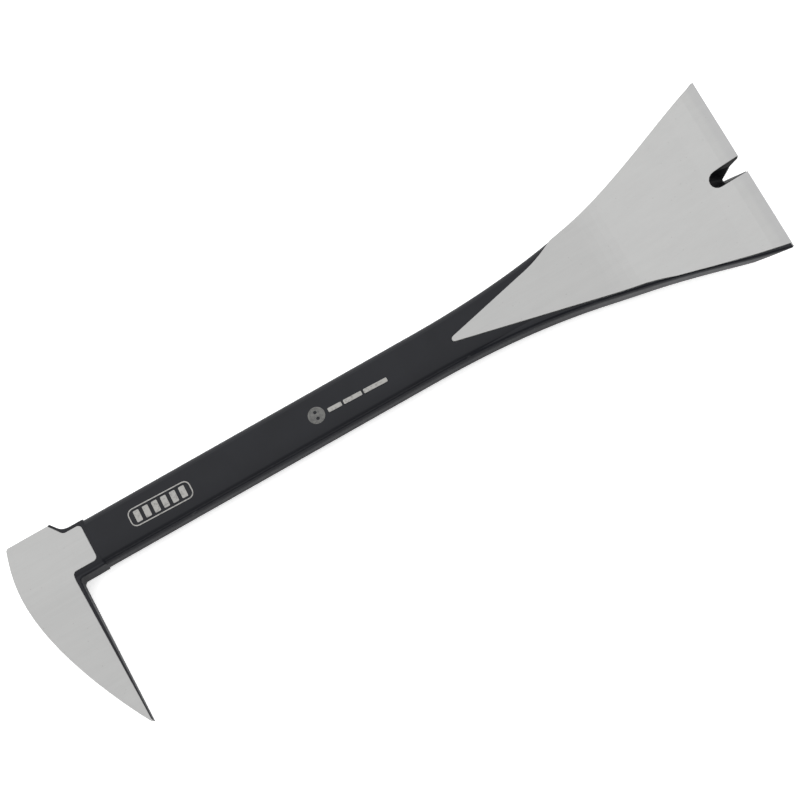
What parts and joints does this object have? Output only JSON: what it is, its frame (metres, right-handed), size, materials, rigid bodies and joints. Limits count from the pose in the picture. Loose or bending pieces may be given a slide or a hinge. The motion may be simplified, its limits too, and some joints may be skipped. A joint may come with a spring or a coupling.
{
  "type": "moulding pry bar",
  "caption": "Flat forged pry bar with a wide flared, slotted blade at one end and a curved square-set pick at the other, coated black with ground bright faces.",
  "frame": {"origin": "middle of the bar's bounding box, on the plane that it rests on when it lies on its back", "axes": "+X from the pick head to the blade's edge, the pick points to -Y, +Z out of the marked front face"},
  "size_m": [0.254, 0.0876, 0.0164],
  "materials": {
    "ground_steel": "belt-ground satin",
    "baked_coating": "satin baked coating",
    "printed_ink": "flat screen-printed ink"
  },
  "bodies": {
    "root": {"forged_bar": "ground_steel", "black_coating": "baked_coating", "nail_slot_coating": "baked_coating", "plate_mark_frame": "printed_ink", "plate_mark_bar_1": "printed_ink", "plate_mark_bar_2": "printed_ink", "plate_mark_bar_3": "printed_ink", "plate_mark_bar_4": "printed_ink", "plate_mark_bar_5": "printed_ink", "plate_mark_bar_6": "printed_ink", "care_mark_disc": "printed_ink", "care_mark_dash_1": "printed_ink", "care_mark_dash_2": "printed_ink", "care_mark_dash_3": "printed_ink"}
  },
  "joints": []
}
